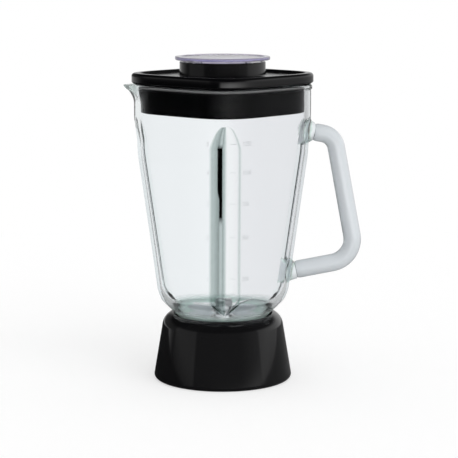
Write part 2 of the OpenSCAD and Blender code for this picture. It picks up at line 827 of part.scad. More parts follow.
module lid_seal() {
    seal_low_z = skirt_z + 0.5;
    seal_top_z = rim_z - 2.5;
    in_r = skirt_r + 0.1;
    out_r = in_r + seal_t;
    color([0.05, 0.05, 0.055])
        ring_loop([
            lid_ring(in_r, seal_low_z),
            lid_ring(out_r - 0.6, seal_low_z),
            lid_ring(out_r, seal_low_z + 0.6),
            lid_ring(out_r, seal_top_z - 0.6),
            lid_ring(out_r - 0.6, seal_top_z),
            lid_ring(in_r, seal_top_z)]);
}

module filler_cap() {
    cup_r = filler_r - cap_gap;
    disc_r = filler_outer_r + cap_overhang;
    disc_top = disc_z + cap_t;
    color([0.75, 0.74, 0.92, 0.5])
        union() {
            rotate_extrude($fn = 96)
                polygon(concat(
                    rounded_line(
                        [[0, disc_z], [cup_r - cup_wall, disc_z], [cup_r - cup_wall - 0.6, disc_z - cup_h],
                            [cup_r - 0.6, disc_z - cup_h], [cup_r, disc_z], [disc_r, disc_z], [disc_r, disc_top],
                            [disc_r - 4, disc_top], [disc_r - 5, disc_top - 0.7], [0, disc_top - 0.7]],
                        [0, 1.2, 0.6, 0.6, 0, 0.8, 0.8, 0, 0, 0], 4)));
            for (i = [0:3])
                rotate([0, 0, 45 + 90 * i - cap_lug_angle / 2])
                    rotate_extrude(angle = cap_lug_angle)
                        translate([filler_r + 0.3, filler_top_z])
                            square([filler_wall - 0.3, cap_lug_h + 0.2]);
        }
}

glass_jar();
jar_handle();
screw_collar();
jar_gasket();
blade_carrier();
upper_bushing();
lower_bushing();
shaft_seal();
spindle();
upper_thrust_washer();
lower_thrust_washer();
retaining_clip();
lower_blade();
blade_spacer();
upper_blade();
lock_washer();
blade_nut();
drive_coupler();
coupler_insert();
lid();
lid_seal();
filler_cap();
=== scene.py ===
"""Blender jug: a pressed glass jar on a screw collar, with a lid and a clear filler cap.

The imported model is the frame. The jar, its handle, the lid with its seal, the filler cap and the collar are
replaced by finer meshes of the same shape, and the pieces that are exact already keep their meshes and get
materials. Lengths are in metres, +Z is up, the handle points along +X and the spout along -X. The camera
looks along +Y, so the front is at -Y.
"""

import json
import math

import bpy
import numpy as np
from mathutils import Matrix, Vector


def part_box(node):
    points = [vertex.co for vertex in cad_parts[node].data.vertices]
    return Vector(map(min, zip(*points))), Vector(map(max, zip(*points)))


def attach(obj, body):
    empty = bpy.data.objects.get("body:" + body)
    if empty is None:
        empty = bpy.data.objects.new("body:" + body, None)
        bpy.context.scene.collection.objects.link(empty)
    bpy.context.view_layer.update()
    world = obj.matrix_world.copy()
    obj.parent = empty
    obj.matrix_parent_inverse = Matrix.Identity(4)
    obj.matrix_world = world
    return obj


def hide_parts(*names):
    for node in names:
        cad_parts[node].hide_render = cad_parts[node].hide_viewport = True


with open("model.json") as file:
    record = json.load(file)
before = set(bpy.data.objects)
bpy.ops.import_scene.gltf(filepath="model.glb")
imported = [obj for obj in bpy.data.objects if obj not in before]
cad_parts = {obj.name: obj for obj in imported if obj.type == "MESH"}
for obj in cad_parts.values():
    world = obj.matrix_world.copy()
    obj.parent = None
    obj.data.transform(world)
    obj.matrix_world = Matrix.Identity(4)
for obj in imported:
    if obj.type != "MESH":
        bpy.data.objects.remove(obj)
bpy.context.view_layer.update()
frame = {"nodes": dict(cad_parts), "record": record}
MM = 0.001

# ------------------------------------------------------------------ places, from the frame

JAR_LOW, JAR_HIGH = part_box("glass_jar")
COLLAR_LOW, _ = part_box("screw_collar")
LID_LOW, LID_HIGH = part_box("lid")
SEAL_LOW, SEAL_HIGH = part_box("lid_seal")
CAP_LOW, CAP_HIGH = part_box("filler_cap")

NECK_Z = JAR_LOW.z
NECK_TOP_Z = NECK_Z + 16 * MM
RIM_Z = JAR_HIGH.z

# ------------------------------------------------------------------ lines


def unit(v):
    return v / np.linalg.norm(v)


def corner_arc(a, b, c, r, steps):
    """The arc of radius r that rounds the corner b between a and c."""
    u, w = unit(a - b), unit(c - b)
    half = math.acos(float(np.clip(u @ w, -1, 1))) / 2
    centre = b + unit(u + w) * r / math.sin(half)
    start = b + u * r / math.tan(half) - centre
    end = b + w * r / math.tan(half) - centre
    a0 = math.atan2(start[1], start[0])
    sweep = (math.atan2(end[1], end[0]) - a0 + math.pi) % (2 * math.pi) - math.pi
    angles = a0 + sweep * np.linspace(0, 1, steps + 1)
    return [centre + r * np.array([math.cos(t), math.sin(t)]) for t in angles]


def rounded(points, radii, steps):
    """An open line through points, with each inner corner rounded to its own radius."""
    pts = [np.array(p, float) for p in points]
    out = []
    for i, p in enumerate(pts):
        if i in (0, len(pts) - 1) or radii[i] == 0:
            out.append(p)
        else:
            out += corner_arc(pts[i - 1], p, pts[i + 1], radii[i], steps)
    return out


def outline(corners, steps):
    """An open line through corners of (radius, height, rounding); its two ends aren't rounded."""
    return rounded([c[:2] for c in corners], [c[2] for c in corners], steps)


def shifted(points, t):
    """An open line moved to its left by t, keeping its corners."""
    pts = [np.array(p, float) for p in points]
    normals = [unit(np.array([a[1] - b[1], b[0] - a[0]])) for a, b in zip(pts, pts[1:])]
    out = []
    for i, p in enumerate(pts):
        before, after = normals[max(i - 1, 0)], normals[min(i, len(normals) - 1)]
        middle = unit(before + after)
        out.append(p + middle * t / (middle @ before))
    return out


def denser(path, gap):
    """The path with extra points, so that none are further apart than gap."""
    out = []
    for a, b in zip(path, path[1:]):
        parts = max(1, math.ceil(np.linalg.norm(b - a) / gap))
        out += [a + (b - a) * k / parts for k in range(parts)]
    return out + [path[-1]]


CIRCLE = 2


def squircle(d, r, power):
    """Polar radius of a rounded square with corners on the axes, at an angle d from the nearest corner.

    A power of CIRCLE gives a circle, and more makes it squarer.
    """
    a = np.radians(45 + np.asarray(d, float))
    spread = np.abs(np.cos(a)) ** power + np.abs(np.sin(a)) ** power
    return r * 2 ** (1 / power) / math.sqrt(2) / spread ** (1 / power)


def from_corner(a):
    """Angle from the nearest of the four corners, in degrees."""
    return a - 90 * np.round(a / 90)


def seen_from(middle, a):
    """Angle a as counted from middle, between -180 and 180 degrees."""
    return (a - middle + 180) % 360 - 180


# ------------------------------------------------------------------ meshes


def make_object(name, verts, faces, body, smooth_angle=35):
    """A piece that rides on a body, smooth but for edges sharper than an angle in degrees."""
    mesh = bpy.data.meshes.new(name)
    mesh.from_pydata([tuple(v) for v in verts], [], faces)
    mesh.validate()
    mesh.polygons.foreach_set("use_smooth", [True] * len(mesh.polygons))
    mesh.set_sharp_from_angle(angle=math.radians(smooth_angle))
    obj = bpy.data.objects.new(name, mesh)
    bpy.context.scene.collection.objects.link(obj)
    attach(obj, body)
    return obj


def level_ring(r, z, a):
    """Points at height z and radius r, which may differ from point to point, at angles a in radians."""
    return np.stack([r * np.cos(a), r * np.sin(a), np.full(len(a), z)], 1)


def whole_turn(count):
    """Angles round the axis, in radians."""
    return np.linspace(0, 2 * math.pi, count, endpoint=False)


def ring_faces(m, n, closed):
    """Quads between m rings of n points; closed joins the last ring to the first."""
    faces = []
    for i in range(m if closed else m - 1):
        here, above = i * n, (i + 1) % m * n
        for j in range(n):
            after = (j + 1) % n
            faces.append((here + j, here + after, above + after, above + j))
    return faces


def swept_faces(m, n):
    """Quads between m rings of n points, with the first and the last ring filled in."""
    first, last = range(n), range((m - 1) * n, m * n)
    return ring_faces(m, n, False) + [tuple(reversed(first)), tuple(last)]


def ring_loop(name, rings, body, smooth_angle=35):
    """A closed solid from rings of points, the last joined to the first."""
    faces = ring_faces(len(rings), len(rings[0]), True)
    return make_object(name, np.concatenate(rings), faces, body, smooth_angle)


def ring_sweep(name, rings, body):
    """A solid swept through rings of points, closed at both ends."""
    return make_object(name, np.concatenate(rings), swept_faces(len(rings), len(rings[0])), body)


def lathe(name, profile, body, segments):
    """A closed profile of [radius, height] turned round the spindle axis."""
    a = whole_turn(segments)
    return ring_loop(name, [level_ring(r, z, a) for r, z in profile], body)


def solid_lathe(name, profile, body, segments):
    """A profile of [radius, height] that starts and ends on the axis, turned round it."""
    a = whole_turn(segments)
    rings = [level_ring(r, z, a) for r, z in profile[1:-1]]
    first, last = [(0, 0, profile[0][1])], [(0, 0, profile[-1][1])]
    verts = np.concatenate([first] + rings + [last])
    faces = [tuple(v + 1 for v in f) for f in ring_faces(len(rings), segments, False)]
    end = len(verts) - 1
    top = end - segments
    for j in range(segments):
        after = (j + 1) % segments
        faces += [(0, 1 + after, 1 + j), (end, top + j, top + after)]
    return make_object(name, verts, faces, body)


# ------------------------------------------------------------------ the jar

GLASS_WALL = 5.2 * MM
NECK_R = 34.7 * MM
HEEL_R = 55.4 * MM
HEEL_Z = NECK_Z + 36.5 * MM
MOUTH_R = 72.8 * MM
SHOULDER_Z = RIM_Z - 54 * MM
NECK_BEND = 4 * MM
HEEL_BEND = 26 * MM
SHOULDER_BEND = 90 * MM
WALL_STEPS = 20
OUTER_GAP = 1.6 * MM
INNER_GAP = 2.2 * MM
JAR_SMOOTH = 28
MOUTH_POWER = 4.2
SQUARE_FROM_Z = NECK_TOP_Z + 3 * MM
SQUARE_GROWTH = 0.6

FRONT = 270
FLUTE_W = 23 * MM
FLUTE_DEPTH = 6.4 * MM
FLUTE_TOP_Z = RIM_Z - 27.5 * MM
FLUTE_ARCH = 18 * MM
FLUTE_ARCH_POWER = 0.45
FLUTE_RUN_IN = FLUTE_ARCH * 1.4
FLUTE_FOOT_Z = NECK_Z + 26 * MM
FLUTE_CLOSE = 11 * MM
FLUTE_SOFT = 0.05
# Keeps a flute's angle in range where the ring is narrow
WIDEST_SINE = 0.9
# The mesh's columns keep to the flute's edges until it has narrowed to this share of its width
COLUMNS_LEAST = 0.3

BEAD_H = 4.5 * MM
BEAD_OUT = 0.9 * MM
BEAD_CLEAR = 0.4 * MM
RIM_INNER_Z = RIM_Z - 2 * MM

SPOUT = 180
SPOUT_REACH = 8.6 * MM
SPOUT_W = 32 * MM
SPOUT_H = 15 * MM
SPOUT_POWER = 1.8

HANDLE_T = 14.6 * MM
HANDLE_W = 18 * MM
BOSS_REACH = 2.6 * MM
BOSS_FLARE = 4.2 * MM
BOSS_POWER = 2.2
BOSS_COSINE = 0.8
HANDLE_TOP_Z = RIM_Z - 39.5 * MM
HANDLE_LOW_Z = NECK_Z + 56.5 * MM
HANDLE_LOW_WALL = HEEL_R + (MOUTH_R - HEEL_R) * (HANDLE_LOW_Z - HEEL_Z) / (SHOULDER_Z - HEEL_Z)
# The handle's centre line in the XZ plane, as [x, z], and how its corners are rounded
HANDLE_CORNERS = [
    np.array([MOUTH_R + BOSS_REACH, HANDLE_TOP_Z]),
    np.array([92.2 * MM, HANDLE_TOP_Z - 3.1 * MM]),
    np.array([111.55 * MM, HANDLE_LOW_Z + 9.4 * MM]),
    np.array([HANDLE_LOW_WALL + BOSS_REACH, HANDLE_LOW_Z]),
]
HANDLE_BENDS = [0, 14 * MM, 20 * MM, 0]

# Columns of the jar's mesh from a flute's middle, as shares of half its width, and then on to the corner
FLUTE_STEPS = np.array([0, 0.06, 0.14, 0.26, 0.4, 0.54, 0.68, 0.8, 0.9, 0.97, 1.0, 1.05, 1.14])
SIDE_STEPS = np.linspace(0, 1, 15)[1:]


def wall_line(inset):
    """The jar's wall as [radius, height] from the screw rim up, moved inwards by inset."""
    neck = [[NECK_R, NECK_Z], [NECK_R, NECK_TOP_Z]]
    body = [[HEEL_R, HEEL_Z], [MOUTH_R, SHOULDER_Z], [MOUTH_R, RIM_Z]]
    bends = [0, NECK_BEND + inset, HEEL_BEND - inset, SHOULDER_BEND - inset, 0]
    return rounded(shifted(neck + body, inset), bends, WALL_STEPS)


def power_at(z):
    """The wall's squareness at height z: round at the neck, and squarer up to the mouth."""
    t = np.clip((z - SQUARE_FROM_Z) / (SHOULDER_Z - NECK_TOP_Z), 0, 1)
    return CIRCLE + (MOUTH_POWER - CIRCLE) * t**SQUARE_GROWTH


def flute_open(z):
    """Width of a flute at height z, as a share of its full width."""
    if z >= FLUTE_TOP_Z or z <= FLUTE_FOOT_Z:
        return 0.0
    top = min(1.0, (FLUTE_TOP_Z - z) / FLUTE_ARCH) ** FLUTE_ARCH_POWER
    foot = min(1.0, (z - FLUTE_FOOT_Z) / FLUTE_CLOSE)
    return top * foot


def flute_sink(z):
    """Depth of a flute at height z, as a share of its full depth."""
    top = math.sin(math.pi / 2 * min(1, max(0, (FLUTE_TOP_Z - z) / FLUTE_RUN_IN)))
    foot = min(1, max(0, (z - FLUTE_FOOT_Z) / FLUTE_CLOSE))
    return top * foot


def flute_half(share, r):
    """Half the angle that a share of a flute's width takes at radius r, in degrees."""
    return math.degrees(math.asin(min(WIDEST_SINE, FLUTE_W / 2 * share / r)))


def ring_angles(r, z):
    """Angles round one ring, in degrees: columns follow the flutes' edges, so that those stay crisp."""
    near = FLUTE_STEPS * flute_half(max(flute_open(z), COLUMNS_LEAST), r)
    side = near[-1] + (45 - near[-1]) * SIDE_STEPS
    right = np.concatenate([near, side])
    corner = np.concatenate([-right[-2:0:-1], right])
    return np.concatenate([c + corner for c in (0, 90, 180, 270)])


def flute_cut(d, r, z, sharp):
    """How far a flute cuts in at angle d from its middle: an outer vee, or the round ridge inside."""
    share = flute_open(z)
    if share <= 0:
        return np.zeros_like(d)
    u = np.clip(np.abs(d) / flute_half(share, r), 0, 1)
    vee = 1 - np.sqrt(u**2 + FLUTE_SOFT**2) / math.sqrt(1 + FLUTE_SOFT**2)
    vee = np.where(u < 1, vee, 0)
    round_ridge = np.cos(math.pi / 2 * u) ** 2
    return FLUTE_DEPTH * flute_sink(z) * (vee if sharp else round_ridge)


def spout_lean(a, z):
    """How far the spout draws the wall out at angle a and height z."""
    half = math.degrees(math.asin(SPOUT_W / 2 / MOUTH_R))
    d = np.abs(seen_from(SPOUT, a))
    rise = max(0.0, min(1.0, (z - RIM_Z + SPOUT_H) / SPOUT_H)) ** SPOUT_POWER
    return np.where(d < half, SPOUT_REACH * rise * np.cos(math.pi / 2 * np.clip(d / half, 0, 1)) ** 2, 0)


def boss_surface(a, r, z):
    """Radius at angle a once the two handle bosses have grown out of the wall."""
    out = r.copy()
    y = r * np.sin(np.radians(a)) * HANDLE_T / HANDLE_W
    cosine = np.cos(np.radians(a))
    on_side = cosine > BOSS_COSINE
    for end, towards in ((0, 1), (3, 2)):
        face = HANDLE_CORNERS[end]
        along = unit(HANDLE_CORNERS[towards] - face)
        up = (z - face[1]) * along[0]
        rho = np.sqrt(y**2 + up**2)
        share = (1 - np.clip((rho - HANDLE_T / 2) / BOSS_FLARE, 0, 1)) ** BOSS_POWER
        x_face = face[0] - (z - face[1]) * along[1] / along[0]
        grown = r + (x_face / np.maximum(cosine, BOSS_COSINE) - r) * share
        out = np.where(on_side & (share > 0), np.maximum(out, grown), out)
    return out


def jar_ring(r, z, outside):
    """One ring of the jar; the flutes are sharp and the bosses grow on its outside only."""
    a = ring_angles(r, z)
    d = from_corner(a)
    radius = squircle(d, r, power_at(z)) - flute_cut(d, r, z, outside) + spout_lean(a, z)
    if outside:
        radius = boss_surface(a, radius, z)
    return level_ring(radius, z, np.radians(a))


# What the jar's material reads from its mesh: the place across the front flute, with -1 and 1 at its
# edges, the same without a sign, and how pale the glass is painted: painted light, and milk at the bosses
FLUTE_PLACE = "flute_place"
FLUTE_SPREAD = "flute_spread"
PAINTED_LIGHT_AND_MILK_PLACE = "painted_light_and_milk"
OFF_FLUTE = 9.0
NECK_PAINTED_LIGHT_FROM = NECK_TOP_Z + 12 * MM
NECK_PAINTED_LIGHT_FULL = NECK_TOP_Z + 1 * MM
# A painted highlight: a thin pale band along the lower edge of the rim's bead
RIM_PAINTED_HIGHLIGHT = 0.14
RIM_HIGHLIGHT_LOW = RIM_Z - 2.6 * MM
RIM_HIGHLIGHT_HIGH = RIM_Z - 0.9 * MM
SPOUT_PAINTED_LIGHT = 0.4
SPOUT_PAINTED_LIGHT_FULL = SPOUT_REACH / 2
BOSS_MILK = 1.6


def flute_place(r, z):
    """Place of each column of a ring across the front flute, cut off at OFF_FLUTE."""
    from_front = seen_from(FRONT, ring_angles(r, z))
    share = flute_open(z)
    if share <= 0:
        return np.where(from_front < 0, -OFF_FLUTE, OFF_FLUTE)
    return np.clip(from_front / flute_half(share, r), -OFF_FLUTE, OFF_FLUTE)


def painted_light_and_milk(r, z, on_bead):
    """How pale each column of a ring is painted: painted light where the neck and the spout would gather
    light, a painted highlight on the rim, and the bosses milky like the handle.
    """
    a = ring_angles(r, z)
    pale = np.full(len(a), np.clip((NECK_PAINTED_LIGHT_FROM - z) / (NECK_PAINTED_LIGHT_FROM - NECK_PAINTED_LIGHT_FULL), 0, 1))
    # painted highlight along the rim's bead
    if on_bead and RIM_HIGHLIGHT_LOW < z < RIM_HIGHLIGHT_HIGH:
        pale = np.maximum(pale, RIM_PAINTED_HIGHLIGHT)
    pale = np.maximum(pale, SPOUT_PAINTED_LIGHT * np.clip(spout_lean(a, z) / SPOUT_PAINTED_LIGHT_FULL, 0, 1))
    wall = squircle(from_corner(a), r, power_at(z))
    grown = np.clip((boss_surface(a, wall, z) - wall) / BOSS_REACH, 0, 1)
    return np.maximum(pale, np.minimum(BOSS_MILK * grown, 1))


def add_attribute(obj, name, values):
    """Keeps a value for each vertex, given ring by ring."""
    attribute = obj.data.attributes.new(name, "FLOAT", "POINT")
    attribute.data.foreach_set("value", np.concatenate(values))


def glass_jar():
    """The jar: up its outside, over the bead at its rim and down its inside."""
    outer = [p for p in denser(wall_line(0), OUTER_GAP) if p[1] < RIM_Z - BEAD_H - BEAD_CLEAR]
    inner = [p for p in denser(wall_line(GLASS_WALL), INNER_GAP) if p[1] < RIM_INNER_Z]
    bead = outline(
        [
            (MOUTH_R, RIM_Z - BEAD_H, 0),
            (MOUTH_R + BEAD_OUT, RIM_Z - BEAD_H * 0.75, 0.9 * MM),
            (MOUTH_R + BEAD_OUT, RIM_Z, 1.7 * MM),
            (MOUTH_R - GLASS_WALL, RIM_Z, 1.2 * MM),
            (MOUTH_R - GLASS_WALL, RIM_INNER_Z, 0),
        ],
        5,
    )
    down = inner[::-1]
    rings = [jar_ring(r, z, True) for r, z in outer]
    rings += [jar_ring(r, z, False) for r, z in bead + down]
    jar = ring_loop("jar_glass", rings, "jar", JAR_SMOOTH)
    across = [flute_place(r, z) for r, z in outer]
    across.append(np.full(len(rings[0]) * len(bead + down), OFF_FLUTE))
    add_attribute(jar, FLUTE_PLACE, across)
    add_attribute(jar, FLUTE_SPREAD, [np.abs(row) for row in across])
    # painted light at the neck, the rim and the spout, and the bosses' own milk, ring by ring
    pale = [painted_light_and_milk(r, z, False) for r, z in outer]
    pale += [painted_light_and_milk(r, z, True) for r, z in bead]
    pale += [painted_light_and_milk(r, z, False) for r, z in down]
    add_attribute(jar, PAINTED_LIGHT_AND_MILK_PLACE, pale)
    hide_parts("glass_jar")
    return jar


# ------------------------------------------------------------------ the jar's raised marks and thread

WALL_R, WALL_Z = np.array(wall_line(0)).T

# Strokes of each figure, on a grid one wide and two high
FIGURES = {
    "0": [(0.5, 0), (0.9, 0.3), (1, 1), (0.9, 1.7), (0.5, 2), (0.1, 1.7), (0, 1), (0.1, 0.3), (0.45, 0)],
    "1": [(0.2, 1.6), (0.6, 2), (0.6, 0)],
    "2": [(0, 1.6), (0.3, 2), (0.8, 2), (1, 1.5), (0, 0), (1, 0)],
    "3": [(0, 1.9), (0.6, 2), (1, 1.6), (0.5, 1.1), (1, 0.6), (0.6, 0), (0, 0.1)],
    "4": [(0.8, 0), (0.8, 2), (0, 0.6), (1, 0.6)],
    "5": [(1, 2), (0.1, 2), (0.1, 1.1), (0.8, 1.2), (1, 0.6), (0.6, 0), (0, 0.1)],
    "7": [(0, 2), (1, 2), (0.4, 0)],
}
FIGURE_H = 3.0 * MM
FIGURE_ADVANCE = 2.2 * MM
STROKE = 0.2 * MM
STROKE_GAP = 0.8 * MM
# The scale's marks: cups on the left of the flute, millilitres and a tick on its right, and their height
VOLUME_MARKS = (
    ("5", "1250", 203.5 * MM),
    ("4", "1000", 180.5 * MM),
    ("3", "750", 155 * MM),
    ("2", "500", 127.5 * MM),
    ("1", "250", 93 * MM),
)
MARK_RIGHT = 14.2 * MM
MARK_LEFT = -15.6 * MM
TICK = (4.2 * MM, 8.4 * MM)
TICK_POINTS = 6

THREAD_LOW_Z = NECK_Z + 3.2 * MM
THREAD_PITCH = 4 * MM
THREAD_HALF = 1.0 * MM
THREAD_TURNS = 2.2
THREAD_POINTS = 220
# The ridge comes out of the neck by this share of its half, and fades in over 1/12 of its way at each end
THREAD_RISE = 0.8
THREAD_TAPER = 12
THREAD_SIDES = 12


def on_wall(across, z):
    """A point of the jar's outside, at a distance to the right of the front flute's middle."""
    r = float(np.interp(z, WALL_Z, WALL_R))
    a = FRONT + math.degrees(across / r)
    d = from_corner(np.array([a]))
    radius = float((squircle(d, r, power_at(z)) - flute_cut(d, r, z, True))[0])
    return np.array([radius * math.cos(math.radians(a)), radius * math.sin(math.radians(a)), z])


def thin_ridge(points, half, sides=8):
    """Vertices and faces of a thin rounded ridge through points, closed at both ends."""
    pts = [np.array(p, float) for p in points]
    turns = whole_turn(sides)
    rings = []
    for i, p in enumerate(pts):
        along = unit(pts[min(i + 1, len(pts) - 1)] - pts[max(i - 1, 0)])
        side = unit(np.cross(along, unit(np.array([p[0], p[1], 0]))))
        out = np.cross(side, along)
        rings.append(np.array([p + half * (math.cos(t) * out + math.sin(t) * side) for t in turns]))
    return np.concatenate(rings), swept_faces(len(rings), sides)


def joined(parts):
    """Several meshes as one list of vertices and one of faces."""
    verts, faces = [], []
    for part_verts, part_faces in parts:
        start = len(verts)
        verts += list(part_verts)
        faces += [tuple(v + start for v in f) for f in part_faces]
    return verts, faces


def figures(text, across, z):
    """The ridges that write a number on the jar's wall, from a place to the right."""
    cell = FIGURE_H / 2
    parts = []
    for i, figure in enumerate(text):
        left = across + i * FIGURE_ADVANCE
        strokes = [on_wall(left + x * cell, z + (y - 1) * cell) for x, y in FIGURES[figure]]
        parts.append(thin_ridge(denser(strokes, STROKE_GAP), STROKE))
    return parts


def volume_marks():
    """The pressed volume scale: figures and ticks, without words."""
    made = []
    for cups, text, z in VOLUME_MARKS:
        tick = [on_wall(x, z) for x in np.linspace(*TICK, TICK_POINTS)]
        parts = figures(text, MARK_RIGHT, z) + figures(cups, MARK_LEFT, z)
        parts.append(thin_ridge(tick, STROKE))
        verts, faces = joined(parts)
        mark = make_object(f"volume_mark_{text}", verts, faces, "jar")
        made.append(mark)
    return made


def jar_thread():
    """The screw neck's raised thread, which ends before the neck's edges."""
    line = []
    for t in np.linspace(0, 1, THREAD_POINTS):
        a = 2 * math.pi * THREAD_TURNS * t
        taper = min(1, THREAD_TAPER * t, THREAD_TAPER * (1 - t))
        r = NECK_R - THREAD_HALF * (1 - THREAD_RISE * taper)
        line.append((r * math.cos(a), r * math.sin(a), THREAD_LOW_Z + THREAD_PITCH * THREAD_TURNS * t))
    verts, faces = thin_ridge(line, THREAD_HALF, THREAD_SIDES)
    thread = make_object("jar_thread", verts, faces, "jar")
    return thread


# ------------------------------------------------------------------ the handle

HANDLE_BEND_STEPS = 18
HANDLE_GAP = 3 * MM
HANDLE_SIDES = 48
DOME = 1.0 * MM
DOME_FLATTEN = 0.6
DOME_STEPS = (0.2, 0.5, 0.75, 0.93)


def bar_ring(at, along, half):
    """A section of the handle at a point of the XZ plane, square to the direction along."""
    a = whole_turn(HANDLE_SIDES)
    u, v = half * np.cos(a), half * HANDLE_W / HANDLE_T * np.sin(a)
    return np.stack([at[0] - along[1] * u, v, at[1] + along[0] * u], 1)


def domed_end(at, along, inwards, steps):
    """Sections that close an end of the handle with a low dome."""
    rings = []
    for t in steps:
        back = DOME * math.sqrt(1 - t * t)
        rings.append(bar_ring(at + inwards * (DOME - back) * DOME_FLATTEN, along, HANDLE_T / 2 * t))
    return rings


def jar_handle():
    """The handle's bar, from the upper boss round to the lower one."""
    line = denser(rounded(HANDLE_CORNERS, HANDLE_BENDS, HANDLE_BEND_STEPS), HANDLE_GAP)
    start, end = unit(line[1] - line[0]), unit(line[-1] - line[-2])
    rings = domed_end(line[0], start, start, DOME_STEPS)
    for before, at, after in zip(line, line[1:], line[2:]):
        rings.append(bar_ring(at, unit(after - before), HANDLE_T / 2))
    rings += domed_end(line[-1], end, -end, DOME_STEPS[::-1])
    bar = ring_sweep("jar_grip", rings, "jar")
    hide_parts("jar_handle")
    return bar


# ------------------------------------------------------------------ the collar

COLLAR_WALL = 2.7 * MM
COLLAR_H = NECK_TOP_Z + 5.3 * MM
COLLAR_SEGMENTS = 192
SLEEVE_R = NECK_R + 1.5 * MM
SLEEVE_OUT = SLEEVE_R + COLLAR_WALL
LEAD_IN_R = SLEEVE_R + 3 * MM
LEAD_IN_OUT = LEAD_IN_R + COLLAR_WALL
LEAD_IN_Z = NECK_TOP_Z - 5 * MM
LEDGE_Z = 28.5 * MM
LEDGE_T = 3 * MM
LEDGE_R = 26 * MM
CROWN_R = LEAD_IN_R + 10 * MM
CROWN_Z = COLLAR_H - 2.3 * MM
LIP_R = LEAD_IN_R + 2.3 * MM
COLLAR_FOOT_R = CROWN_R + 8.8 * MM
SEAT_R = COLLAR_FOOT_R - 4.5 * MM
SEAT_DEPTH = 10 * MM


def collar_side(z):
    """Radius of the collar's tapering side at height z."""
    return COLLAR_FOOT_R - (COLLAR_FOOT_R - CROWN_R) * z / CROWN_Z


def collar_outside():
    """From the foot up the side, over the crown and down into the lead-in."""
    return outline(
        [
            (SEAT_R, 0, 0),
            (COLLAR_FOOT_R, 0, 3 * MM),
            (CROWN_R, CROWN_Z, 12 * MM),
            (LIP_R, COLLAR_H, 0.8 * MM),
            (LEAD_IN_R, NECK_TOP_Z - 1 * MM, 3 * MM),
            (LEAD_IN_R, LEAD_IN_Z + 1 * MM, 0),
        ],
        24,
    )


def collar_sleeve():
    """Down the sleeve round the jar's neck, round the ledge under it and up the sleeve's other side."""
    return outline(
        [
            (LEAD_IN_R, LEAD_IN_Z + 1 * MM, 0),
            (LEAD_IN_R, LEAD_IN_Z, 0.3 * MM),
            (SLEEVE_R, LEAD_IN_Z, 0.6 * MM),
            (SLEEVE_R, LEDGE_Z, 0.3 * MM),
            (LEDGE_R, LEDGE_Z, 0.5 * MM),
            (LEDGE_R, LEDGE_Z - LEDGE_T, 0.5 * MM),
            (SLEEVE_OUT, LEDGE_Z - LEDGE_T, 0.8 * MM),
            (SLEEVE_OUT, LEAD_IN_Z - COLLAR_WALL, 0.8 * MM),
            (LEAD_IN_OUT, LEAD_IN_Z - COLLAR_WALL, 0),
        ],
        4,
    )


def collar_pocket():
    """Down the side's inner face to the seat for the motor housing."""
    side = [(COLLAR_FOOT_R, 0), (CROWN_R, CROWN_Z), (LIP_R, COLLAR_H)]
    _, (crown_in, under_crown), _ = shifted(side, COLLAR_WALL)
    return outline(
        [
            (LEAD_IN_OUT, under_crown, 0),
            (crown_in, under_crown, 4.8 * MM),
            (collar_side(SEAT_DEPTH) - COLLAR_WALL, SEAT_DEPTH + 1 * MM, 0.5 * MM),
            (SEAT_R, SEAT_DEPTH, 0),
        ],
        6,
    )


def collar():
    """The collar, turned from its section of [radius, height]."""
    section = [[r, max(z, 0.0)] for r, z in collar_outside() + collar_sleeve()[1:] + collar_pocket()]
    body = lathe("collar_shell", section, "collar", COLLAR_SEGMENTS)
    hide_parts("screw_collar")
    return body


# ------------------------------------------------------------------ the lid, its seal and the filler cap

LID_WALL = 2.4 * MM
LID_R = LID_HIGH.x
LID_COLUMNS = 288
SKIRT_R = SEAL_HIGH.x - 1.9 * MM
SKIRT_Z = LID_LOW.z
LID_Z = RIM_Z + 0.3 * MM
LID_TOP_Z = LID_HIGH.z - 9.2 * MM
LID_LIP = 1.8 * MM
PLATE_TOP_Z = LID_TOP_Z - 2.2 * MM
PLATE_Z = PLATE_TOP_Z - LID_WALL
BORDER_IN = LID_R - 9 * MM
BORDER_SLOPE = 2.64 * MM
FILLER_R = 32.3 * MM
FILLER_OUT = FILLER_R + 3 * MM
FILLER_TOP = LID_HIGH.z
FILLER_LOW = LID_TOP_Z - 14 * MM
FILLER_FOOT_R = FILLER_OUT + 3 * MM
# The plate's rings between its square border and the round neck, as shares of the way
PLATE_RINGS = (0.3, 0.6, 0.85)

SEAL_IN_R = SKIRT_R + 0.05 * MM
SEAL_MIDDLE_Z = (SEAL_LOW.z + SEAL_HIGH.z) / 2

DISC_Z = FILLER_TOP + 1.4 * MM
DISC_R = CAP_HIGH.x
DISC_TOP_Z = CAP_HIGH.z
DISH_TOP_Z = DISC_TOP_Z - 0.7 * MM
CUP_R = FILLER_R - 0.7 * MM
CUP_WALL = 2 * MM
CUP_DRAFT = 0.6 * MM
CUP_LOW_Z = CAP_LOW.z
CAP_SEGMENTS = 128
LUG_IN = FILLER_R + 0.3 * MM
LUG_TOP_Z = DISC_Z - 0.02 * MM
LUG_SPAN = 27
LUG_SECTIONS = 10


def lid_ring(r, z, power=MOUTH_POWER):
    """A ring of the lid, square like the jar's mouth unless a lower power is given."""
    a = np.linspace(0, 360, LID_COLUMNS, endpoint=False)
    return level_ring(squircle(from_corner(a), r, power), z, np.radians(a))


